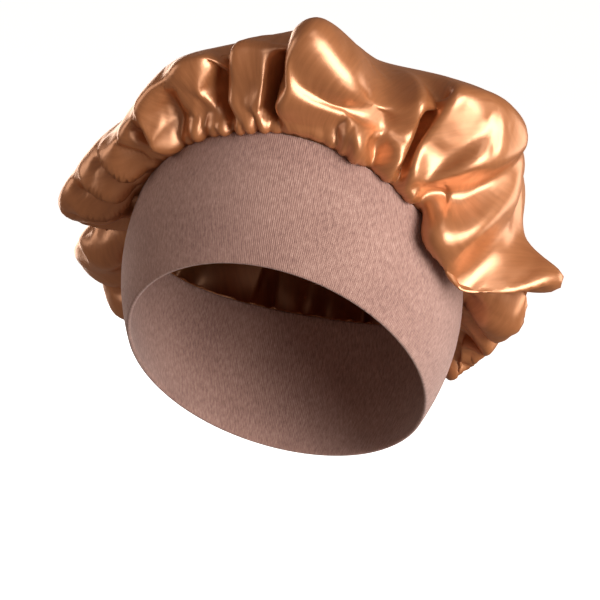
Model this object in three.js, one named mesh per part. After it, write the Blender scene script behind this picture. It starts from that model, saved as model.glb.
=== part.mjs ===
// Sleep bonnet as worn: a wide knitted band and a puffed satin crown gathered onto its upper edge.
// Millimetres, +Z up, forehead towards -Y, the wearer's left towards +X.
// The origin is the middle of the band's lower rim, where the bonnet sits on a head.
import * as THREE from 'three';

// Lower rim of the band: an ellipse tilted up at the front, 560 mm round.
const rimHalfWidth = 78.2;
const rimHalfLength = 99.4;
const rimTilt = 41.3;
const rimSideDrop = 2.2;

// Seam, the band's upper edge, where the crown is gathered on.
const seamHalfWidth = 86.5;
const seamHalfLength = 102;
const seamTilt = 37.4;
const seamBack = 25.6;
const seamUp = 66.2;
const seamSideDrop = 15.5;

// Walls and the space between the two pieces.
const bandWall = 2.2;
const bandFullness = 4.5;
const crownWall = 1.2;
const seamGap = 0.4;
const seamLip = 3.5;

// Crown: its table below holds shares of these three sizes.
const crownOverhang = 60;
const crownRise = 70;
const crownHeight = 93;

// Folds and gathers.
const foldDepth = 8;
const gatherDepth = 2.4;
const gatherCount = 30;
const gatherFade = 0.3;

// Sections round the seam. Angle in degrees, 0 at the forehead, positive to the wearer's left.
// Out is a share of crownOverhang, rise a share of crownRise.
const sections = [
  { angle: -180, bellyOut: 0.40, bellyRise: -0.31, rimOut: 0.70, rimRise: -0.11, shoulderOut: 0.60, shoulderRise: 0.37 },
  { angle: -152, bellyOut: 0.42, bellyRise: -0.29, rimOut: 0.73, rimRise: -0.11, shoulderOut: 0.60, shoulderRise: 0.40 },
  { angle: -128, bellyOut: 0.55, bellyRise: -0.29, rimOut: 0.93, rimRise: -0.17, shoulderOut: 0.73, shoulderRise: 0.37 },
  { angle: -107, bellyOut: 0.50, bellyRise: -0.11, rimOut: 0.99, rimRise: 0.11, shoulderOut: 0.76, shoulderRise: 0.43 },
  { angle: -91, bellyOut: 0.33, bellyRise: -0.03, rimOut: 0.58, rimRise: 0.03, shoulderOut: 0.45, shoulderRise: 0.34 },
  { angle: -77, bellyOut: 0.33, bellyRise: -0.07, rimOut: 0.68, rimRise: -0.04, shoulderOut: 0.53, shoulderRise: 0.26 },
  { angle: -62, bellyOut: 0.27, bellyRise: -0.01, rimOut: 0.50, rimRise: 0.10, shoulderOut: 0.45, shoulderRise: 0.30 },
  { angle: -49, bellyOut: 0.21, bellyRise: 0.02, rimOut: 0.42, rimRise: 0.06, shoulderOut: 0.39, shoulderRise: 0.31 },
  { angle: -33, bellyOut: 0.24, bellyRise: 0.09, rimOut: 0.57, rimRise: 0.22, shoulderOut: 0.44, shoulderRise: 0.45 },
  { angle: -20, bellyOut: 0.24, bellyRise: 0.13, rimOut: 0.60, rimRise: 0.35, shoulderOut: 0.37, shoulderRise: 0.58 },
  { angle: -4, bellyOut: 0.25, bellyRise: 0.21, rimOut: 0.48, rimRise: 0.45, shoulderOut: 0.31, shoulderRise: 0.69 },
  { angle: 4, bellyOut: 0.31, bellyRise: 0.25, rimOut: 0.60, rimRise: 0.52, shoulderOut: 0.36, shoulderRise: 0.74 },
  { angle: 16, bellyOut: 0.26, bellyRise: 0.25, rimOut: 0.48, rimRise: 0.35, shoulderOut: 0.26, shoulderRise: 0.70 },
  { angle: 30, bellyOut: 0.26, bellyRise: 0.22, rimOut: 0.40, rimRise: 0.33, shoulderOut: 0.22, shoulderRise: 0.63 },
  { angle: 45, bellyOut: 0.30, bellyRise: 0.20, rimOut: 0.70, rimRise: 0.63, shoulderOut: 0.45, shoulderRise: 0.81 },
  { angle: 59, bellyOut: 0.18, bellyRise: -0.28, rimOut: 0.72, rimRise: 0.72, shoulderOut: 0.46, shoulderRise: 0.96 },
  { angle: 70, bellyOut: 0.20, bellyRise: -0.37, rimOut: 0.60, rimRise: 0.55, shoulderOut: 0.44, shoulderRise: 0.91 },
  { angle: 76, bellyOut: 0.54, bellyRise: -0.22, rimOut: 0.47, rimRise: 0.42, shoulderOut: 0.40, shoulderRise: 0.88 },
  { angle: 82, bellyOut: 0.86, bellyRise: 0.05, rimOut: 0.52, rimRise: 0.34, shoulderOut: 0.37, shoulderRise: 0.86 },
  { angle: 93, bellyOut: 0.58, bellyRise: 0.02, rimOut: 0.40, rimRise: 0.38, shoulderOut: 0.33, shoulderRise: 0.79 },
  { angle: 103, bellyOut: 0.42, bellyRise: -0.12, rimOut: 0.50, rimRise: 0.16, shoulderOut: 0.40, shoulderRise: 0.60 },
  { angle: 118, bellyOut: 0.44, bellyRise: -0.24, rimOut: 0.55, rimRise: 0.06, shoulderOut: 0.50, shoulderRise: 0.49 },
  { angle: 136, bellyOut: 0.47, bellyRise: -0.36, rimOut: 0.67, rimRise: -0.17, shoulderOut: 0.57, shoulderRise: 0.40 },
  { angle: 155, bellyOut: 0.42, bellyRise: -0.36, rimOut: 0.67, rimRise: -0.17, shoulderOut: 0.57, shoulderRise: 0.37 },
];

// Main folds, each running from the seam towards the crown's middle. Widths in degrees,
// depth a share of foldDepth, negative for a valley, start and end shares of the way to the middle.
const folds = [
  { seamAngle: 1, rimAngle: 5, seamWidth: 3, rimWidth: 4, depth: -1.0, start: 0.03, end: 0.34 },
  { seamAngle: 6, rimAngle: 11, seamWidth: 3, rimWidth: 5, depth: 0.7, start: 0.03, end: 0.34 },
  { seamAngle: -5, rimAngle: -3, seamWidth: 4, rimWidth: 4, depth: 0.5, start: 0.04, end: 0.22 },
  { seamAngle: -15, rimAngle: -10, seamWidth: 3, rimWidth: 4, depth: -0.8, start: 0.03, end: 0.32 },
  { seamAngle: -25, rimAngle: -20, seamWidth: 3, rimWidth: 4, depth: -0.5, start: 0.03, end: 0.26 },
  { seamAngle: -38, rimAngle: -36, seamWidth: 3, rimWidth: 5, depth: -0.6, start: 0.03, end: 0.28 },
  { seamAngle: 27, rimAngle: 21, seamWidth: 5, rimWidth: 6, depth: 0.7, start: 0.02, end: 0.13 },
  { seamAngle: 39, rimAngle: 39, seamWidth: 3, rimWidth: 4, depth: -1.0, start: 0.05, end: 0.30 },
  { seamAngle: 44, rimAngle: 60, seamWidth: 3, rimWidth: 4, depth: 0.6, start: 0.04, end: 0.34 },
  { seamAngle: 50, rimAngle: 68, seamWidth: 3, rimWidth: 5, depth: -0.8, start: 0.05, end: 0.36 },
  { seamAngle: -50, rimAngle: -55, seamWidth: 4, rimWidth: 4, depth: 0.6, start: 0.03, end: 0.20 },
  { seamAngle: -59, rimAngle: -60, seamWidth: 3, rimWidth: 4, depth: -0.6, start: 0.03, end: 0.20 },
  { seamAngle: -66, rimAngle: -68, seamWidth: 3, rimWidth: 4, depth: 0.6, start: 0.03, end: 0.20 },
  { seamAngle: -84, rimAngle: -88, seamWidth: 4, rimWidth: 4, depth: -0.8, start: 0.04, end: 0.34 },
  { seamAngle: -116, rimAngle: -118, seamWidth: 4, rimWidth: 5, depth: -0.6, start: 0.04, end: 0.30 },
  { seamAngle: -140, rimAngle: -143, seamWidth: 4, rimWidth: 5, depth: -0.7, start: 0.04, end: 0.42 },
  { seamAngle: -165, rimAngle: -162, seamWidth: 4, rimWidth: 5, depth: -0.6, start: 0.04, end: 0.36 },
  { seamAngle: 172, rimAngle: 169, seamWidth: 4, rimWidth: 5, depth: -0.7, start: 0.04, end: 0.42 },
  { seamAngle: 147, rimAngle: 146, seamWidth: 4, rimWidth: 5, depth: -0.7, start: 0.04, end: 0.38 },
  { seamAngle: 127, rimAngle: 125, seamWidth: 3, rimWidth: 5, depth: -0.6, start: 0.04, end: 0.32 },
  { seamAngle: 99, rimAngle: 100, seamWidth: 3, rimWidth: 4, depth: -0.5, start: 0.04, end: 0.30 },
];

// Mesh divisions.
const crownSteps = 120;
const crownRows = 18;
const rowCrowding = 1.35;
const bandSteps = 84;
const bandRows = 6;
const edgeRows = 2;

const radians = THREE.MathUtils.degToRad;
const seamNormal = new THREE.Vector3(0, Math.sin(radians(seamTilt)), Math.cos(radians(seamTilt)));
const seamCentre = new THREE.Vector3(0, seamBack, seamUp);

// A point on a tilted ellipse whose sides drop below its plane.
function ringPoint(angle, halfWidth, halfLength, tilt, centre, sideDrop) {
  const side = Math.sin(angle);
  const front = Math.cos(angle);
  return new THREE.Vector3(
    halfWidth * side,
    centre.y - halfLength * front * Math.cos(radians(tilt)),
    centre.z + halfLength * front * Math.sin(radians(tilt)) - sideDrop * side * side,
  );
}

const rimAt = (angle) => ringPoint(angle, rimHalfWidth, rimHalfLength, rimTilt, new THREE.Vector3(), rimSideDrop);
const seamAt = (angle) => ringPoint(angle, seamHalfWidth, seamHalfLength, seamTilt, seamCentre, seamSideDrop);

// The band's directions at an angle: up across its width, along its edge and out of its face.
function bandFrame(angle) {
  const step = Math.PI / 360;
  const up = seamAt(angle).sub(rimAt(angle)).normalize();
  const along = seamAt(angle + step).sub(seamAt(angle - step)).normalize();
  const out = new THREE.Vector3().crossVectors(along, up).normalize();
  return { up, out };
}

// Closed skin over a list of rings. Rings of one point are poles, and a looped skin joins its ends.
function skin(rings, looped) {
  const positions = [];
  const starts = rings.map((ring) => {
    const start = positions.length / 3;
    ring.forEach((point) => positions.push(point.x, point.y, point.z));
    return start;
  });
  const faces = [];
  const count = Math.max(...rings.map((ring) => ring.length));
  const pairs = looped ? rings.length : rings.length - 1;
  for (let row = 0; row < pairs; row += 1) {
    const next = (row + 1) % rings.length;
    for (let i = 0; i < count; i += 1) {
      const j = (i + 1) % count;
      const at = (ring, k) => starts[ring] + (rings[ring].length === 1 ? 0 : k);
      if (rings[row].length > 1) faces.push(at(row, i), at(row, j), at(next, i));
      if (rings[next].length > 1) faces.push(at(row, j), at(next, j), at(next, i));
    }
  }
  const geometry = new THREE.BufferGeometry();
  geometry.setAttribute('position', new THREE.Float32BufferAttribute(positions, 3));
  geometry.setIndex(faces);
  geometry.computeVertexNormals();
  return geometry;
}

// Shares of the way from the seam to the crown's middle, closer together near the seam.
const crownShares = Array.from({ length: crownRows + 1 }, (unused, k) => (k / crownRows) ** rowCrowding);

const ringAngles = (count) => Array.from({ length: count }, (unused, i) => (2 * Math.PI * i) / count);

// Band: one rounded cross-section carried round the head.
function bandGeometry() {
  const half = bandWall / 2;
  const profile = [];
  for (let row = 0; row <= bandRows; row += 1) profile.push({ share: row / bandRows, out: half, up: 0 });
  for (let row = 1; row <= edgeRows; row += 1) {
    const turn = (Math.PI * row) / (edgeRows + 1);
    profile.push({ share: 1, out: half * Math.cos(turn), up: half * Math.sin(turn) });
  }
  for (let row = bandRows; row >= 0; row -= 1) profile.push({ share: row / bandRows, out: -half, up: 0 });
  for (let row = 1; row <= edgeRows; row += 1) {
    const turn = (Math.PI * row) / (edgeRows + 1);
    profile.push({ share: 0, out: -half * Math.cos(turn), up: -half * Math.sin(turn) });
  }
  const rings = profile.map(({ share, out, up }) => ringAngles(bandSteps).map((angle) => {
    const frame = bandFrame(angle);
    const lower = rimAt(angle).addScaledVector(frame.up, half);
    const upper = seamAt(angle).addScaledVector(frame.up, -half);
    const bulge = bandFullness * 4 * share * (1 - share);
    return lower.lerp(upper, share).addScaledVector(frame.out, out + bulge).addScaledVector(frame.up, up);
  }));
  return skin(rings, true);
}

// A column of the section table at an angle, smooth round the ring.
function sectionValue(column, degrees) {
  const rows = sections.length;
  const row = (i) => sections[((i % rows) + rows) % rows];
  const angleOf = (i) => row(i).angle + 360 * Math.floor(i / rows);
  let at = 0;
  while (angleOf(at + 1) <= degrees) at += 1;
  const slope = (i) => (row(i + 1)[column] - row(i - 1)[column]) / (angleOf(i + 1) - angleOf(i - 1));
  const span = angleOf(at + 1) - angleOf(at);
  const x = (degrees - angleOf(at)) / span;
  return row(at)[column] * (2 * x ** 3 - 3 * x ** 2 + 1)
    + slope(at) * span * (x ** 3 - 2 * x ** 2 + x)
    + row(at + 1)[column] * (3 * x ** 2 - 2 * x ** 3)
    + slope(at + 1) * span * (x ** 3 - x ** 2);
}

// The crown's middle surface from the seam to its middle at one angle, before folds.
function crownMeridian(angle) {
  const degrees = THREE.MathUtils.euclideanModulo(THREE.MathUtils.radToDeg(angle) + 180, 360) - 180;
  const seam = seamAt(angle);
  const frame = bandFrame(angle);
  const level = seam.clone().sub(seamCentre).dot(seamNormal);
  const outward = seam.clone().sub(seamCentre).addScaledVector(seamNormal, -level);
  const reach = outward.length();
  outward.normalize();
  const place = (out, rise) => seam.clone().addScaledVector(outward, out).addScaledVector(seamNormal, rise);
  const out = (column) => crownOverhang * sectionValue(column, degrees);
  const rise = (column) => crownRise * sectionValue(column, degrees);
  const lift = crownWall / 2 + seamGap;
  const start = seam.clone().addScaledVector(frame.up, lift);
  const lip = start.clone().addScaledVector(frame.out, seamLip).addScaledVector(frame.up, seamLip * 0.4);
  const innerRise = 0.3 * rise('shoulderRise') + 0.7 * (crownHeight - level);
  const curve = new THREE.CatmullRomCurve3([
    start,
    lip,
    place(out('bellyOut'), rise('bellyRise')),
    place(out('rimOut'), rise('rimRise')),
    place(out('shoulderOut'), rise('shoulderRise')),
    place(-0.38 * reach, innerRise),
    place(-0.72 * reach, 0.99 * crownHeight - level),
    place(-reach, crownHeight - level),
  ], false, 'centripetal');
  return crownShares.map((share) => curve.getPointAt(share));
}

const window = (x, start, end) => THREE.MathUtils.smoothstep(x, start - 0.03, start + 0.05)
  * (1 - THREE.MathUtils.smoothstep(x, end - 0.08, end + 0.08));

// Height of the folds and gathers over the middle surface.
function foldHeight(angle, share) {
  const degrees = THREE.MathUtils.radToDeg(angle);
  let height = 0;
  folds.forEach((fold) => {
    const way = Math.min(share / fold.end, 1);
    const centre = THREE.MathUtils.lerp(fold.seamAngle, fold.rimAngle, way);
    const width = THREE.MathUtils.lerp(fold.seamWidth, fold.rimWidth, way);
    const off = THREE.MathUtils.euclideanModulo(degrees - centre + 180, 360) - 180;
    height += foldDepth * fold.depth * Math.exp(-((off / width) ** 2)) * window(share, fold.start, fold.end);
  });
  const fade = THREE.MathUtils.smoothstep(share, 0, 0.06) * (1 - THREE.MathUtils.smoothstep(share, 0.06, gatherFade));
  return height + gatherDepth * fade * Math.cos(gatherCount * angle);
}

// Crown: a hollow shell of one cloth thickness, open at the seam.
function crownGeometry() {
  const angles = ringAngles(crownSteps);
  const grid = angles.map((angle) => crownMeridian(angle));
  const normalsOf = (columns) => columns.map((column, i) => column.map((point, k) => {
    const around = columns[(i + 1) % crownSteps][k].clone().sub(columns[(i - 1 + crownSteps) % crownSteps][k]);
    const inward = column[Math.min(k + 1, crownRows)].clone().sub(column[Math.max(k - 1, 0)]);
    return around.cross(inward).normalize();
  }));
  const plain = normalsOf(grid);
  const folded = grid.map((column, i) => column.map((point, k) => (
    point.clone().addScaledVector(plain[i][k], foldHeight(angles[i], crownShares[k])))));
  const normals = normalsOf(folded);
  const side = (sign) => Array.from({ length: crownRows }, (unused, k) => folded.map((column, i) => (
    column[k].clone().addScaledVector(normals[i][k], sign * crownWall / 2))));
  const pole = (sign) => [folded[0][crownRows].clone().addScaledVector(seamNormal, sign * crownWall / 2)];
  return skin([pole(-1), ...side(-1).reverse(), ...side(1), pole(1)], false);
}

const group = new THREE.Group();

const bandKnit = new THREE.MeshStandardMaterial({ name: 'band_knit', color: 0xa98573, roughness: 0.95 });
const band = new THREE.Mesh(bandGeometry(), bandKnit);
band.name = 'band';
group.add(band);

const crownSatin = new THREE.MeshStandardMaterial({ name: 'crown_satin', color: 0xc07f4c, roughness: 0.35 });
const crown = new THREE.Mesh(crownGeometry(), crownSatin);
crown.name = 'crown';
group.add(crown);

export default group;
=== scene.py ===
# %% [markdown]
# # A satin sleep bonnet in its worn form
# A sleep bonnet is two pieces of cloth. A wide knitted band grips the head, and a much larger
# disc of satin is gathered onto the band's upper edge, so it puffs out in folds all round.
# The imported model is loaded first, because it fixes where each piece sits and how big it is.

import math

import bmesh
import bpy
import numpy as np
from mathutils import Matrix, Vector


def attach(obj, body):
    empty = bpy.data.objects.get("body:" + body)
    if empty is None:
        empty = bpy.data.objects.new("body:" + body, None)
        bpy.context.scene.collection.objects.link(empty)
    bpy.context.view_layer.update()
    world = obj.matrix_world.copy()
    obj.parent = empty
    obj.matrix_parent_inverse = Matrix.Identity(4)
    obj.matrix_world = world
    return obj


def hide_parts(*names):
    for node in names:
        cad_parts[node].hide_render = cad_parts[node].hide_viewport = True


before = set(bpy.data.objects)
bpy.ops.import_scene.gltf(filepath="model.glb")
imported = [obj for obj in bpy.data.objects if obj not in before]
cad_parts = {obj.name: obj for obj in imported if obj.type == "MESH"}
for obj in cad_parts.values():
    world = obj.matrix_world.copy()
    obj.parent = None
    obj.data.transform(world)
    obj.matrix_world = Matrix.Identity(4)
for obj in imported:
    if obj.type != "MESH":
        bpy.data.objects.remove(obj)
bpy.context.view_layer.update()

# %% [markdown]
# ## Camera
# The picture is taken from a little to the wearer's left and a little above, with the head
# leaning six degrees. A long lens far away keeps the band's two ends nearly the same size.

# %% Camera
TURN, RISE, LEAN = (math.radians(angle) for angle in (12.1, 12.1, 6.0))
DISTANCE, AIM_RIGHT, AIM_UP = 1.3, 0.0120, 0.0336
SENSOR_MM, LENS_MM = 36, 151.3
back = Vector((math.sin(TURN) * math.cos(RISE), -math.cos(TURN) * math.cos(RISE), math.sin(RISE)))
level = Vector((math.cos(TURN), math.sin(TURN), 0))
upright = back.cross(level)
right = math.cos(LEAN) * level + math.sin(LEAN) * upright
up = math.cos(LEAN) * upright - math.sin(LEAN) * level
aim = AIM_RIGHT * right + AIM_UP * up
lens = bpy.data.cameras.new("camera")
lens.sensor_width = SENSOR_MM
lens.lens = LENS_MM
camera = bpy.data.objects.new("camera", lens)
facing = Matrix((right, up, back)).transposed().to_4x4()
camera.matrix_world = Matrix.Translation(aim + back * DISTANCE) @ facing
bpy.context.scene.collection.objects.link(camera)
bpy.context.scene.camera = camera
print("camera at", [round(x, 3) for x in camera.matrix_world.translation])

# %% [markdown]
# ## Shader maths
# A finish is easier to read as a formula. One class wraps a node socket and overloads the
# arithmetic, and one method adds any other node from its type, its settings and its inputs.

# %% Shader helper
class Wave:
    """A node output that can be used in arithmetic."""

    def __init__(self, finish, socket):
        self.finish, self.socket = finish, socket

    def maths(self, operation, first, second):
        return self.finish.node("ShaderNodeMath", {"operation": operation}, {0: first, 1: second})

    def __add__(self, other):
        return self.maths("ADD", self, other)

    def __mul__(self, other):
        return self.maths("MULTIPLY", self, other)

    __radd__ = __add__
    __rmul__ = __mul__


class Graph:
    """A node tree that nodes are added to by type, settings and inputs."""

    def __init__(self, tree):
        self.tree = tree

    def node(self, kind, settings=None, inputs=None, output=0):
        made = self.tree.nodes.new(kind)
        for key, value in (settings or {}).items():
            if key == "stops":
                while len(made.color_ramp.elements) < len(value):
                    made.color_ramp.elements.new(1)
                for element, (position, colour) in zip(made.color_ramp.elements, value):
                    element.position, element.color = position, colour
            else:
                setattr(made, key, value)
        for key, value in (inputs or {}).items():
            if isinstance(value, Wave):
                self.tree.links.new(value.socket, made.inputs[key])
            else:
                made.inputs[key].default_value = value
        return Wave(self, made.outputs[output])


class Finish(Graph):
    """A material and its Principled shader."""

    def __init__(self, name, **constants):
        self.material = bpy.data.materials.new(name)
        self.material.use_nodes = True
        super().__init__(self.material.node_tree)
        self.shader = self.tree.nodes["Principled BSDF"]
        for socket, value in constants.items():
            self.shader.inputs[socket.replace("_", " ")].default_value = value

    def feed(self, socket, wave):
        self.tree.links.new(wave.socket, self.shader.inputs[socket])


# %% [markdown]
# ## Floor and light
# The picture has a white background and one broad light from the wearer's left. A white floor
# well below the bonnet stands in for both floor and backdrop. Weaker lights stand below, above,
# on the far side and behind, and the air glows warmly, more on the lit side than on the other.

# %% Floor
FLOOR_HALF, FLOOR_DEPTH, PAPER_WHITE, PAPER_GLOW = 12, 0.32, 0.9, 0.85
floor_mesh = bpy.data.meshes.new("floor")
builder = bmesh.new()
bmesh.ops.create_grid(builder, x_segments=1, y_segments=1, size=FLOOR_HALF)
bmesh.ops.translate(builder, verts=builder.verts, vec=(0, 0, -FLOOR_DEPTH))
builder.to_mesh(floor_mesh)
builder.free()
floor = bpy.data.objects.new("floor", floor_mesh)
bpy.context.scene.collection.objects.link(floor)
paper = Finish("floor_paper", Base_Color=(PAPER_WHITE, PAPER_WHITE, PAPER_WHITE, 1), Roughness=1.0,
               Emission_Color=(1, 1, 1, 1), Emission_Strength=PAPER_GLOW)
floor_mesh.materials.append(paper.material)
floor.visible_diffuse = False
floor.visible_glossy = False

# %% Lights
LIT_POINT = Vector((0, 0.02, 0.06))
SOFTBOXES = [
    # name, place, size, watts, colour
    ("key", (1.32, -0.80, 0.42), 1.0, 34, (1, 0.99, 0.97)),
    ("low", (1.20, -0.60, -0.26), 0.7, 6, (1, 0.97, 0.93)),
    ("top", (0.55, -0.75, 1.25), 0.6, 2, (1, 1, 1)),
    ("rear", (-0.98, 1.20, -0.05), 0.9, 10, (1, 0.98, 0.95)),
    ("rear_left", (1.20, 1.05, 0.05), 0.9, 8, (1, 0.98, 0.95)),
    ("far", (-1.42, -0.30, 0.30), 1.0, 6, (1, 0.94, 0.88))]
AIR_COLOUR, AIR_FAR_SIDE, AIR_LIT_SIDE = (1, 0.76, 0.64, 1), 0.19, 0.26

for name, place, size, watts, colour in SOFTBOXES:
    data = bpy.data.lights.new(name, "AREA")
    data.size, data.energy, data.color = size, watts, colour
    lamp = bpy.data.objects.new(name, data)
    looking = (Vector(place) - LIT_POINT).to_track_quat("Z", "Y")
    lamp.matrix_world = Matrix.Translation(place) @ looking.to_matrix().to_4x4()
    bpy.context.scene.collection.objects.link(lamp)
sky = bpy.data.worlds.new("studio")
bpy.context.scene.world = sky
sky.use_nodes = True
air = Graph(sky.node_tree)
way = air.node("ShaderNodeTexCoord")
across = air.node("ShaderNodeSeparateXYZ", {}, {"Vector": way})
glow = air.node("ShaderNodeMapRange", {}, {"Value": across, "From Min": -1, "From Max": 1,
                                           "To Min": AIR_FAR_SIDE, "To Max": AIR_LIT_SIDE})
background = sky.node_tree.nodes["Background"]
sky.node_tree.links.new(glow.socket, background.inputs["Strength"])
background.inputs["Color"].default_value = AIR_COLOUR
bpy.context.scene.view_settings.view_transform = "Standard"

# %% [markdown]
# ## Band
# The band is a doubled strip of fine knit, sewn into a loop. Its lower rim goes round the
# head at 560 mm and its upper edge carries the crown. Both edges are tilted ellipses, so the
# band is a circle that is extruded ring by ring across its width and back down inside.

# %% Sizes and the two rings
RIM = {"across": 0.0782, "along": 0.0994, "tilt": 41.3, "centre": (0, 0, 0), "drop": 0.0022}
SEAM = {"across": 0.0865, "along": 0.102, "tilt": 37.4, "centre": (0, 0.0256, 0.0662), "drop": 0.0155}
BAND_WALL = 0.0022
BAND_FULLNESS = 0.0045
ANGLE_STEP = 0.01
seam_tilt = math.radians(SEAM["tilt"])
seam_normal = np.array([0, math.sin(seam_tilt), math.cos(seam_tilt)])
seam_centre = np.array(SEAM["centre"])


def ring(angle, across, along, tilt, centre, drop):
    """Points of a tilted ellipse whose sides drop, for an array of angles."""
    tilt = math.radians(tilt)
    side, front = np.sin(angle), np.cos(angle)
    return np.stack([across * side, centre[1] - along * front * math.cos(tilt),
                     centre[2] + along * front * math.sin(tilt) - drop * side * side], -1)


def unit(vectors):
    return vectors / np.maximum(np.linalg.norm(vectors, axis=-1, keepdims=True), 1e-12)


def band_frame(angle):
    """The band's upward and outward directions."""
    rise = unit(ring(angle, **SEAM) - ring(angle, **RIM))
    along = ring(angle + ANGLE_STEP, **SEAM) - ring(angle - ANGLE_STEP, **SEAM)
    return rise, unit(np.cross(along, rise))


rim_steps = np.diff(ring(np.linspace(0, 2 * np.pi, 400), **RIM), axis=0)
print("rim", round(float(np.linalg.norm(rim_steps, axis=1).sum()), 3), "m round")

# %% Rings of cloth
def grow_rings(rings):
    """A bmesh that starts as a circle and is extruded to each further ring in turn."""
    cloth = bmesh.new()
    bmesh.ops.create_circle(cloth, segments=len(rings[0]), radius=1)
    edges = cloth.edges[:]
    loops = [cloth.verts[:]]
    for _ in rings[1:]:
        grown = bmesh.ops.extrude_edge_only(cloth, edges=edges)["geom"]
        edges = [item for item in grown
                 if isinstance(item, bmesh.types.BMEdge) and len(item.link_faces) == 1]
        loops.append([item for item in grown if isinstance(item, bmesh.types.BMVert)])
    for loop, points in zip(loops, rings):
        for vert, point in zip(loop, points):
            vert.co = point
    return cloth, loops, edges


def finished(name, cloth, finish):
    """Puts a bmesh into the scene as an object at the origin."""
    mesh = bpy.data.meshes.new(name)
    cloth.to_mesh(mesh)
    cloth.free()
    mesh.materials.append(finish.material)
    mesh.shade_smooth()
    piece = bpy.data.objects.new(name, mesh)
    bpy.context.scene.collection.objects.link(piece)
    return piece


# %% [markdown]
# The knit is fine vertical ribs of a heathered mauve-brown yarn. A UV map in millimetres lets
# the ribs follow the band round. A stretched noise mottles the yarn and raises its pile, and a
# wide one clouds the whole band a little.

# %% Knit finish
def knit_finish():
    knit = Finish("knit", Roughness=0.9, Sheen_Weight=0.25, Sheen_Roughness=0.6, Specular_IOR_Level=0.2)
    place = knit.node("ShaderNodeUVMap", {"uv_map": "cloth"})
    ribs = knit.node("ShaderNodeTexWave", {"wave_type": "BANDS", "bands_direction": "X"},
                     {"Vector": place, "Scale": 0.29, "Distortion": 1.2, "Detail": 2.0,
                      "Detail Scale": 0.6}, 1)
    stretch = knit.node("ShaderNodeMapping", {}, {"Vector": place, "Scale": (1.0, 0.33, 1.0)})
    yarn = knit.node("ShaderNodeTexNoise", {},
                     {"Vector": stretch, "Scale": 0.75, "Detail": 3.0, "Roughness": 0.7})
    cloudy = knit.node("ShaderNodeTexNoise", {}, {"Vector": place, "Scale": 0.035, "Detail": 2.0})
    tone = yarn * 0.80 + ribs * 0.08 + cloudy * 0.2
    colour = knit.node("ShaderNodeValToRGB", {"stops": [
        (0.32, (0.190, 0.096, 0.080, 1)), (0.54, (0.336, 0.188, 0.152, 1)),
        (0.78, (0.490, 0.306, 0.250, 1))]}, {"Fac": tone})
    knit.feed("Base Color", colour)
    height = yarn * 0.6 + ribs * 0.35
    pile = knit.node("ShaderNodeBump", {}, {"Height": height, "Strength": 0.55, "Distance": 0.0006})
    knit.feed("Normal", pile)
    return knit


knit = knit_finish()

# %% [markdown]
# The section of the band is one narrow loop with round edges, because the knit is folded over
# at the rim. The loop is carried round the head by giving every extruded ring its own points.

# %% Band piece
BAND_STEPS, BAND_ROWS, EDGE_ROWS = 288, 20, 4
SEAM_ROUND_MM = 590


def band_section():
    """Share of the width, sideways and upward offsets round the section."""
    half = BAND_WALL / 2
    turns = [math.pi * row / (EDGE_ROWS + 1) for row in range(1, EDGE_ROWS + 1)]
    shares = [row / BAND_ROWS for row in range(BAND_ROWS + 1)]
    outside = [(share, half, 0.0) for share in shares]
    top = [(1.0, half * math.cos(turn), half * math.sin(turn)) for turn in turns]
    inside = [(share, -half, 0.0) for share in reversed(shares)]
    foot = [(0.0, -half * math.cos(turn), -half * math.sin(turn)) for turn in turns]
    return outside + top + inside + foot


def band_rings():
    angle = np.linspace(-np.pi, np.pi, BAND_STEPS, endpoint=False)
    rise, out = band_frame(angle)
    lower = ring(angle, **RIM) + rise * BAND_WALL / 2
    upper = ring(angle, **SEAM) - rise * BAND_WALL / 2
    for share, sideways, upward in band_section():
        bulge = BAND_FULLNESS * 4 * share * (1 - share)
        yield lower + (upper - lower) * share + out * (sideways + bulge) + rise * upward


def cloth_map(cloth, loops, steps_mm, rows_mm):
    """A UV map in millimetres: round the cloth, then across it."""
    layer = cloth.loops.layers.uv.new("cloth")
    place = {}
    for row, loop in enumerate(loops):
        for step, vert in enumerate(loop):
            place[vert.index] = (row, step)
    count = len(loops[0])
    for face in cloth.faces:
        corners = [place[corner.vert.index] for corner in face.loops]
        last = max(step for _, step in corners)
        top_row = max(row for row, _ in corners)
        for corner, (row, step) in zip(face.loops, corners):
            step = count if step == 0 and last == count - 1 else step
            row = len(loops) if row == 0 and top_row == len(loops) - 1 else row
            corner[layer].uv = (step * steps_mm, rows_mm[row])


rings = list(band_rings())
cloth, loops, edges = grow_rings(rings)
first_edges = [edge for edge in cloth.edges if len(edge.link_faces) == 1 and edge not in edges]
bmesh.ops.bridge_loops(cloth, edges=edges + first_edges)
cloth.verts.index_update()
row_steps = [1000 * float(np.linalg.norm(b[0] - a[0])) for a, b in zip(rings, rings[1:] + rings[:1])]
cloth_map(cloth, loops, SEAM_ROUND_MM / BAND_STEPS, np.concatenate([[0], np.cumsum(row_steps)]))
bmesh.ops.recalc_face_normals(cloth, faces=cloth.faces)
band = finished("band_cloth", cloth, knit)
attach(band, "root")
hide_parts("band")
print("band faces", len(band.data.polygons))

# %% [markdown]
# ## Crown
# The crown is a disc of satin. Its edge is gathered onto the seam, so the cloth stands out
# in a roll round the head before it turns over the top. Each row below is one section of that
# roll: how far out and how high its belly, its rim and its shoulder stand at that angle.

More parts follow.
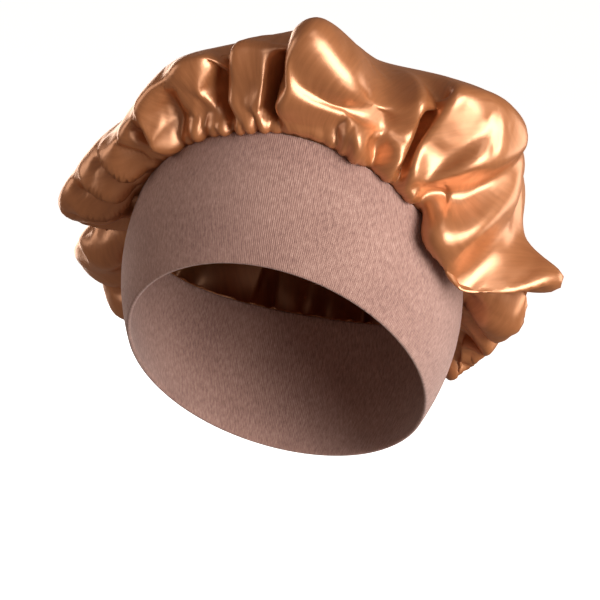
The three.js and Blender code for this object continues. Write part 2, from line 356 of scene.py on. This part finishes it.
# %% Sections
OVERHANG, CROWN_RISE, CROWN_HEIGHT = 0.060, 0.070, 0.093
SECTIONS = np.array([
    (-180, 0.40, -0.31, 0.70, -0.11, 0.60, 0.37),
    (-152, 0.42, -0.29, 0.73, -0.11, 0.60, 0.40),
    (-128, 0.55, -0.29, 0.93, -0.17, 0.73, 0.37),
    (-107, 0.50, -0.11, 0.99, 0.11, 0.76, 0.43),
    (-91, 0.33, -0.03, 0.58, 0.03, 0.45, 0.34),
    (-77, 0.33, -0.07, 0.68, -0.04, 0.53, 0.26),
    (-62, 0.27, -0.01, 0.50, 0.10, 0.45, 0.30),
    (-49, 0.21, 0.02, 0.42, 0.06, 0.39, 0.31),
    (-33, 0.24, 0.09, 0.57, 0.22, 0.44, 0.45),
    (-20, 0.24, 0.13, 0.60, 0.35, 0.37, 0.58),
    (-4, 0.25, 0.21, 0.48, 0.45, 0.31, 0.69),
    (4, 0.31, 0.25, 0.60, 0.52, 0.36, 0.74),
    (16, 0.26, 0.25, 0.48, 0.35, 0.26, 0.70),
    (30, 0.26, 0.22, 0.40, 0.33, 0.22, 0.63),
    (45, 0.30, 0.20, 0.70, 0.63, 0.45, 0.81),
    (59, 0.18, -0.28, 0.72, 0.72, 0.46, 0.96),
    (70, 0.20, -0.37, 0.60, 0.55, 0.44, 0.91),
    (76, 0.54, -0.22, 0.47, 0.42, 0.40, 0.88),
    (82, 0.86, 0.05, 0.52, 0.34, 0.37, 0.86),
    (93, 0.58, 0.02, 0.40, 0.38, 0.33, 0.79),
    (103, 0.42, -0.12, 0.50, 0.16, 0.40, 0.60),
    (118, 0.44, -0.24, 0.55, 0.06, 0.50, 0.49),
    (136, 0.47, -0.36, 0.67, -0.17, 0.57, 0.40),
    (155, 0.42, -0.36, 0.67, -0.17, 0.57, 0.37)])


def section_values(degrees):
    """The six columns of the table at each angle, smooth round the ring."""
    table = np.concatenate([SECTIONS[-2:] - [360, 0, 0, 0, 0, 0, 0], SECTIONS,
                            SECTIONS[:3] + [360, 0, 0, 0, 0, 0, 0]])
    at = np.searchsorted(table[:, 0], degrees, side="right") - 1
    slope = (table[2:, 1:] - table[:-2, 1:]) / (table[2:, :1] - table[:-2, :1])
    span = (table[at + 1, 0] - table[at, 0])[:, None]
    x = (degrees[:, None] - table[at, :1]) / span
    return (table[at, 1:] * (2 * x**3 - 3 * x**2 + 1) + slope[at - 1] * span * (x**3 - 2 * x**2 + x)
            + table[at + 1, 1:] * (3 * x**2 - 2 * x**3) + slope[at] * span * (x**3 - x**2))


# %% [markdown]
# A Catmull-Rom curve through each section's points gives the cloth's path from the seam to
# the middle of the crown. Cutting every path into the same shares makes the rings to extrude.

# %% Smooth surface
CROWN_STEPS, CROWN_ROWS, CROWDING = ((640, 72, 1.35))
CROWN_WALL, SEAM_GAP, SEAM_LIP, LIP_RISE = 0.0012, 0.0004, 0.0035, 0.4
INNER_REACH, INNER_MIX, DOME_REACH, DOME_HEIGHT = 0.38, (0.3, 0.7), 0.72, 0.99


def through_points(points, shares, fine=16):
    """Centripetal Catmull-Rom curves through (curves, points, 3), cut at shares of their length."""
    ends = np.concatenate([2 * points[:, :1] - points[:, 1:2], points,
                           2 * points[:, -1:] - points[:, -2:-1]], 1)
    gap = np.maximum(np.linalg.norm(np.diff(ends, axis=1), axis=-1, keepdims=True) ** 0.5, 1e-6)
    x = np.linspace(0, 1, fine, endpoint=False)[None, :, None]
    pieces = []
    for i in range(points.shape[1] - 1):
        p0, p1, p2, p3 = (ends[:, i + k][:, None] for k in range(4))
        d0, d1, d2 = (gap[:, i + k][:, None] for k in range(3))
        leave = ((p1 - p0) / d0 - (p2 - p0) / (d0 + d1) + (p2 - p1) / d1) * d1
        reach = ((p2 - p1) / d1 - (p3 - p1) / (d1 + d2) + (p3 - p2) / d2) * d1
        pieces.append(p1 * (2 * x**3 - 3 * x**2 + 1) + leave * (x**3 - 2 * x**2 + x)
                      + p2 * (3 * x**2 - 2 * x**3) + reach * (x**3 - x**2))
    line = np.concatenate(pieces + [points[:, -1:]], 1)
    length = np.concatenate([np.zeros((len(line), 1)),
                             np.cumsum(np.linalg.norm(np.diff(line, axis=1), axis=-1), 1)], 1)
    cut = np.empty((len(line), len(shares), 3))
    for i in range(len(line)):
        for k in range(3):
            cut[i, :, k] = np.interp(shares * length[i, -1], length[i], line[i, :, k])
    return cut


def crown_surface(angle, shares):
    seam = ring(angle, **SEAM)
    rise, out = band_frame(angle)
    height = (seam - seam_centre) @ seam_normal
    outward = seam - seam_centre - height[:, None] * seam_normal
    reach = np.linalg.norm(outward, axis=1)
    outward = unit(outward)
    values = section_values((np.degrees(angle) + 180) % 360 - 180)

    def place(away, above):
        return seam + outward * away[:, None] + above[:, None] * seam_normal

    start = seam + rise * (CROWN_WALL / 2 + SEAM_GAP)
    lip = start + out * SEAM_LIP + rise * SEAM_LIP * LIP_RISE
    inner = INNER_MIX[0] * CROWN_RISE * values[:, 5] + INNER_MIX[1] * (CROWN_HEIGHT - height)
    stations = [start, lip]
    stations += [place(OVERHANG * values[:, k], CROWN_RISE * values[:, k + 1]) for k in (0, 2, 4)]
    stations += [place(-INNER_REACH * reach, inner),
                 place(-DOME_REACH * reach, DOME_HEIGHT * CROWN_HEIGHT - height),
                 place(-reach, CROWN_HEIGHT - height)]
    return through_points(np.stack(stations, 1), shares)


angle = np.linspace(0, 2 * np.pi, CROWN_STEPS, endpoint=False)
shares = np.linspace(0, 1, CROWN_ROWS + 1) ** CROWDING
smooth = crown_surface(angle, shares)
print("crown reaches", smooth.reshape(-1, 3).min(0).round(3), smooth.reshape(-1, 3).max(0).round(3))

# %% [markdown]
# Gathered satin folds in two ways. Long folds run from the seam towards the middle, and each
# row below is one: its angle and width at both ends, its depth, and where it starts and ends.
# Round the back they are random, from a fixed seed, with longer and flatter pleats between them.
# The gathering thread also pinches the cloth into many small folds that merge further out.

# %% Long folds
FOLD_DEPTH, CREASE_FALL, EASE_BEFORE, EASE_AFTER = 0.014, 1.5, 0.03, 0.05
FADE_LEAST, FADE_SHARE = 0.04, 0.32
FOLDS = [
    # seam angle, rim angle, seam width, rim width, depth, start, end, lean, softness
    (6.0, 10.5, 4.2, 7.0, 0.50, 0.03, 0.36, -0.75, 0.5),
    (0.0, 2.6, 2.8, 4.4, -1.50, 0.03, 0.40, 0.0, 0.5),
    (12.0, 14.5, 7.0, 9.0, 0.36, 0.06, 0.33, 0.0, 1.6),
    (-4.5, -2.0, 3.6, 4.2, 0.50, 0.03, 0.20, 0.0, 1.0),
    (-10.0, -8.0, 1.8, 2.4, 0.45, 0.04, 0.34, -0.5, 0.4),
    (-15.2, -13.4, 4.2, 5.2, -1.25, 0.03, 0.40, 0.0, 0.9),
    (-23.0, -19.0, 3.6, 4.8, 0.20, 0.05, 0.26, 0.0, 1.2),
    (-31.0, -30.0, 2.4, 3.6, -0.60, 0.03, 0.18, 0.0, 0.7),
    (-36.5, -38.0, 2.0, 2.8, 0.55, 0.02, 0.13, -0.3, 0.5),
    (-41.5, -43.0, 2.0, 3.0, -0.50, 0.03, 0.14, 0.0, 0.6),
    (19.5, 19.0, 1.8, 2.6, -0.50, 0.02, 0.09, 0.0, 0.6),
    (25.0, 24.5, 4.2, 4.6, 0.80, 0.02, 0.10, -0.3, 1.0),
    (31.5, 30.0, 2.0, 3.0, -0.70, 0.02, 0.12, 0.0, 0.6),
    (34.8, 34.5, 2.2, 3.6, 0.55, 0.03, 0.38, 0.3, 0.5),
    (38.6, 39.5, 2.2, 4.4, -1.20, 0.05, 0.32, 0.0, 0.6),
    (42.0, 43.0, 1.8, 3.0, 0.60, 0.04, 0.34, -0.3, 0.4),
    (43.5, 51.0, 1.6, 2.8, -0.45, 0.05, 0.28, 0.0, 0.5),
    (42.5, 62.0, 2.0, 4.2, 0.60, 0.06, 0.44, 0.2, 0.5),
    (47.5, 65.0, 2.2, 4.6, -1.05, 0.04, 0.42, 0.0, 0.6),
    (52.0, 66.0, 2.2, 4.2, 0.60, 0.05, 0.36, 0.0, 0.7),
    (62.0, 76.0, 4.0, 6.0, -0.35, 0.06, 0.40, 0.0, 1.4),
    (84.0, 85.0, 5.0, 6.0, 0.32, 0.10, 0.30, 0.0, 1.2),
    (29.0, 27.5, 4.0, 6.5, -0.40, 0.12, 0.40, 0.0, 1.3),
    (-46.0, -50.0, 1.1, 1.7, -0.50, 0.02, 0.13, 0.0, 0.4),
    (-49.0, -55.0, 1.3, 2.0, 0.55, 0.02, 0.15, -0.5, 0.3),
    (-52.5, -60.0, 1.1, 1.7, -0.65, 0.02, 0.14, 0.0, 0.4),
    (-56.0, -65.0, 1.3, 2.0, 0.55, 0.02, 0.13, -0.5, 0.3),
    (-59.5, -69.0, 1.1, 1.7, -0.60, 0.02, 0.15, 0.0, 0.4),
    (-63.0, -73.0, 1.3, 2.0, 0.60, 0.02, 0.12, -0.5, 0.3),
    (-66.5, -77.0, 1.1, 1.7, -0.55, 0.02, 0.14, 0.0, 0.4),
    (-74.0, -78.0, 3.0, 4.4, 0.30, 0.04, 0.16, 0.0, 1.0),
    (-81.0, -83.0, 2.2, 3.2, -0.50, 0.04, 0.18, 0.0, 0.6),
    (-89.0, -91.0, 2.6, 3.6, -1.10, 0.04, 0.38, 0.0, 0.5),
    (-98.0, -99.0, 4.0, 5.5, 0.35, 0.05, 0.20, 0.0, 1.2),
    (-108.0, -105.0, 3.2, 4.2, -0.30, 0.04, 0.14, 0.0, 0.9),
    (88.0, 92.0, 2.6, 4.6, -0.70, 0.04, 0.30, 0.0, 0.5),
    (99.0, 101.0, 4.2, 5.4, 0.40, 0.05, 0.24, 0.0, 1.4),
    (109.0, 111.0, 2.0, 3.2, -0.60, 0.03, 0.24, 0.0, 0.6)]
BACK_FOLDS, BACK_PLEATS = (122.0, 246), (98.0, 264)
chance = np.random.default_rng(7)
turn = BACK_FOLDS[0]
while turn < BACK_FOLDS[1]:
    FOLDS.append((turn, turn + chance.uniform(-3, 3), chance.uniform(2.0, 3.2), chance.uniform(3.2, 5.4),
                  chance.uniform(-1.0, -0.4), 0.04, chance.uniform(0.24, 0.52), 0.0,
                  chance.uniform(0.35, 1.1)))
    turn += chance.uniform(7, 15)
pleats = np.random.default_rng(11)
turn = BACK_PLEATS[0]
while turn < BACK_PLEATS[1]:
    FOLDS.append((turn, turn + pleats.uniform(-4, 4), pleats.uniform(1.6, 2.6), pleats.uniform(2.4, 4.4),
                  pleats.uniform(-0.50, 0.42), 0.16, pleats.uniform(0.48, 0.78), pleats.uniform(-0.4, 0.4),
                  pleats.uniform(0.3, 0.9)))
    turn += pleats.uniform(4, 9)


def soft_step(x, low, high):
    x = np.clip((x - low) / (high - low), 0, 1)
    return x * x * (3 - 2 * x)


def near(degrees, centre, width):
    """A smooth hill round one angle, from 0 to 1."""
    return np.exp(-(((degrees - centre + 180) % 360 - 180) / width) ** 2)


def long_folds(degrees, share):
    """Height of the folds, and how far their crests lean round the ring."""
    height = np.zeros(np.broadcast(degrees, share).shape)
    lean = np.zeros_like(height)
    for seam_angle, rim_angle, seam_width, rim_width, depth, start, end, slant, softness in FOLDS:
        way = np.clip(share / end, 0, 1)
        centre = seam_angle + (rim_angle - seam_angle) * way
        width = seam_width + (rim_width - seam_width) * way
        off = np.abs((degrees - centre + 180) % 360 - 180) / width
        crease = np.exp(-CREASE_FALL * (np.sqrt(off * off + softness * softness) - softness))
        fade = FADE_LEAST + FADE_SHARE * end
        reach = soft_step(share, start - EASE_BEFORE, start + EASE_AFTER)
        reach = reach * (1 - soft_step(share, end - fade, end + fade))
        height += FOLD_DEPTH * depth * crease * reach
        lean += FOLD_DEPTH * slant * crease * reach
    return height, lean


# %% Gathers
def wander(degrees, size, waves):
    """A smooth random value round the ring."""
    total = np.zeros_like(degrees)
    for wave in range(2, waves):
        size_here, start_here = chance.normal(), chance.uniform(0, 6.28)
        total += size_here * np.sin(np.radians(degrees * wave) + start_here) / math.sqrt(wave)
    return size * total


def pinched(phase):
    """Round ridges with tight valleys between them, from 0 to 1."""
    return np.sqrt(np.cos(phase / 2) ** 2 + 0.02) - 0.14


GATHERS = [
    # count round the seam, height, share where it is full, share where it ends
    (83, 0.0019, 0.012, 0.07), (39, 0.0050, 0.030, 0.15), (22, 0.0026, 0.09, 0.42)]
CALM = [
    # angle, width, how much lower the gathers are there
    (78, 14, 0.75), (11, 11, 0.8), (-104, 12, 0.65)]


def gathers(degrees, share):
    """Height of the small folds that the sewing line makes."""
    height = 0
    calm = 1
    for centre, width, less in CALM:
        calm = calm * (1 - less * near(degrees, centre, width))
    for count, size, low, high in GATHERS:
        drift = wander(degrees, 1.3, 12)
        strength = np.clip(0.75 + wander(degrees, 0.30, 20), 0.10, 1.5)
        phase = np.radians(degrees) * count + drift + 1.2 * share * wander(degrees, 1.0, 7)
        swell = soft_step(share, -0.01, low) * (1 - soft_step(share, low, high))
        height = height + size * strength * swell * calm * pinched(phase)
    return height * (1 + 0.5 * near(degrees, 50, 8))


# %% Folded surface
def grid_normals(grid):
    """Outward normals of a (steps, rows, 3) grid that closes round its first axis."""
    around = np.roll(grid, -1, 0) - np.roll(grid, 1, 0)
    inward = np.gradient(grid, axis=1)
    return unit(np.cross(around, inward))


degrees = (np.degrees(angle)[:, None] + 180) % 360 - 180
height, lean = long_folds(degrees, shares[None, :])
height += gathers(degrees, shares[None, :])
along = unit(np.roll(smooth, -1, 0) - np.roll(smooth, 1, 0))
folded = smooth + grid_normals(smooth) * height[..., None] + along * lean[..., None]
lowest, highest = (round(float(level) * 1000, 1) for level in (height.min(), height.max()))
print("folds between", lowest, "and", highest, "mm")

# %% [markdown]
# Satin is smooth on its face: the threads float, so it shines in broad bands and goes dark
# between them. The shine is strong and lightly tinted, which a partly metallic shader with a
# high index gives. A fine noise streaks the threads and a wide one crumples the cloth.

# %% Satin finish
def satin_finish():
    satin = Finish("satin", Metallic=0.38, IOR=2.0, Specular_IOR_Level=0.85,
                   Specular_Tint=(1, 0.82, 0.64, 1))
    place = satin.node("ShaderNodeUVMap", {"uv_map": "cloth"})
    slub = satin.node("ShaderNodeMapping", {}, {"Vector": place, "Scale": (0.5, 0.05, 1.0)})
    streaks = satin.node("ShaderNodeTexNoise", {}, {"Vector": slub, "Scale": 1.0, "Detail": 2.0})
    crumple = satin.node("ShaderNodeTexNoise", {}, {"Vector": place, "Scale": 0.05, "Detail": 2.0})
    colour = satin.node("ShaderNodeValToRGB", {"stops": [
        (0.30, (0.43, 0.150, 0.050, 1)), (0.70, (0.51, 0.190, 0.068, 1))]}, {"Fac": streaks})
    satin.feed("Base Color", colour)
    satin.feed("Roughness", 0.31 + 0.06 * streaks)
    height = streaks * 0.06 + crumple
    creases = satin.node("ShaderNodeBump", {}, {"Height": height, "Strength": 0.4, "Distance": 0.0008})
    satin.feed("Normal", creases)
    return satin


satin = satin_finish()

# %% Crown piece
CLOTH_RADIUS_MM = 240
rings = [folded[:, row] for row in range(CROWN_ROWS)]
cloth, loops, edges = grow_rings(rings)
tip = bmesh.ops.extrude_edge_only(cloth, edges=edges)["geom"]
tip = [item for item in tip if isinstance(item, bmesh.types.BMVert)]
bmesh.ops.pointmerge(cloth, verts=tip, merge_co=folded[:, -1].mean(0))
cloth.verts.ensure_lookup_table()
cloth.verts.index_update()
cloth_rows = CLOTH_RADIUS_MM * shares
layer = cloth.loops.layers.uv.new("cloth")
steps_of = {vert.index: (row, step) for row, loop in enumerate(loops) for step, vert in enumerate(loop)}
for face in cloth.faces:
    corners = [steps_of.get(corner.vert.index) for corner in face.loops]
    for corner, at in zip(face.loops, corners):
        if at is None:
            corner[layer].uv = (0, 0)
            continue
        radius = CLOTH_RADIUS_MM - cloth_rows[at[0]]
        corner[layer].uv = (radius * math.sin(angle[at[1]]), radius * math.cos(angle[at[1]]))
bmesh.ops.recalc_face_normals(cloth, faces=cloth.faces)
crown = finished("crown_cloth", cloth, satin)

# %% Settle the satin
SETTLE_FRAMES, MOST_MOVE = 16, 0.012
HOLD = [0, 0.003, 0.02, 0.1, 0.4, 1], [1, 1, 0.3, 0.12, 0.2, 0.5]
GROW = [0, 0.1, 0.3, 0.5, 1], [0.7, 0.6, 0.4, 0.2, 0.1]


def settle(piece, hold, grow):
    """Lets the cloth buckle inside its own form: hold keeps it in place, grow makes it slack."""
    mesh = piece.data
    for name, weights in (("hold", hold), ("grow", grow)):
        group = piece.vertex_groups.new(name=name)
        for row, loop_weight in enumerate(weights):
            first = row * CROWN_STEPS
            last = min(first + CROWN_STEPS, len(mesh.vertices))
            group.add(list(range(first, last)), float(loop_weight), "REPLACE")
    drape = piece.modifiers.new("settle", "CLOTH")
    rules = drape.settings
    rules.quality = 6
    rules.mass = 0.12
    rules.tension_stiffness = rules.compression_stiffness = 30
    rules.shear_stiffness = 12
    rules.bending_stiffness = 0.03
    rules.vertex_group_mass = "hold"
    rules.pin_stiffness = 0.3
    rules.vertex_group_shrink = "grow"
    rules.shrink_min = 0
    rules.shrink_max = -0.50
    rules.effector_weights.gravity = 0.15
    drape.collision_settings.use_collision = False
    scene = bpy.context.scene
    for moment in range(1, SETTLE_FRAMES + 1):
        scene.frame_set(moment)
    shaped = piece.evaluated_get(bpy.context.evaluated_depsgraph_get())
    places = np.empty(len(mesh.vertices) * 3)
    shaped.data.vertices.foreach_get("co", places)
    start = np.empty_like(places)
    mesh.vertices.foreach_get("co", start)
    piece.modifiers.remove(drape)
    moved = places.reshape(-1, 3) - start.reshape(-1, 3)
    far = np.linalg.norm(moved, axis=1, keepdims=True)
    moved *= np.minimum(1, MOST_MOVE / np.maximum(far, 1e-9))
    mesh.vertices.foreach_set("co", (start.reshape(-1, 3) + moved).ravel())
    mesh.update()
    scene.frame_set(1)
    print("satin moved up to", round(float(far.max()) * 1000, 1), "mm")


row_share = np.append(shares[:-1], 1)
settle(crown, np.interp(row_share, *HOLD), np.interp(row_share, *GROW))
SATIN_THICKNESS = 0.0009
wall = crown.modifiers.new("wall", "SOLIDIFY")
wall.thickness = SATIN_THICKNESS
wall.offset = 0
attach(crown, "root")
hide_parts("crown")
print("crown faces", len(crown.data.polygons))
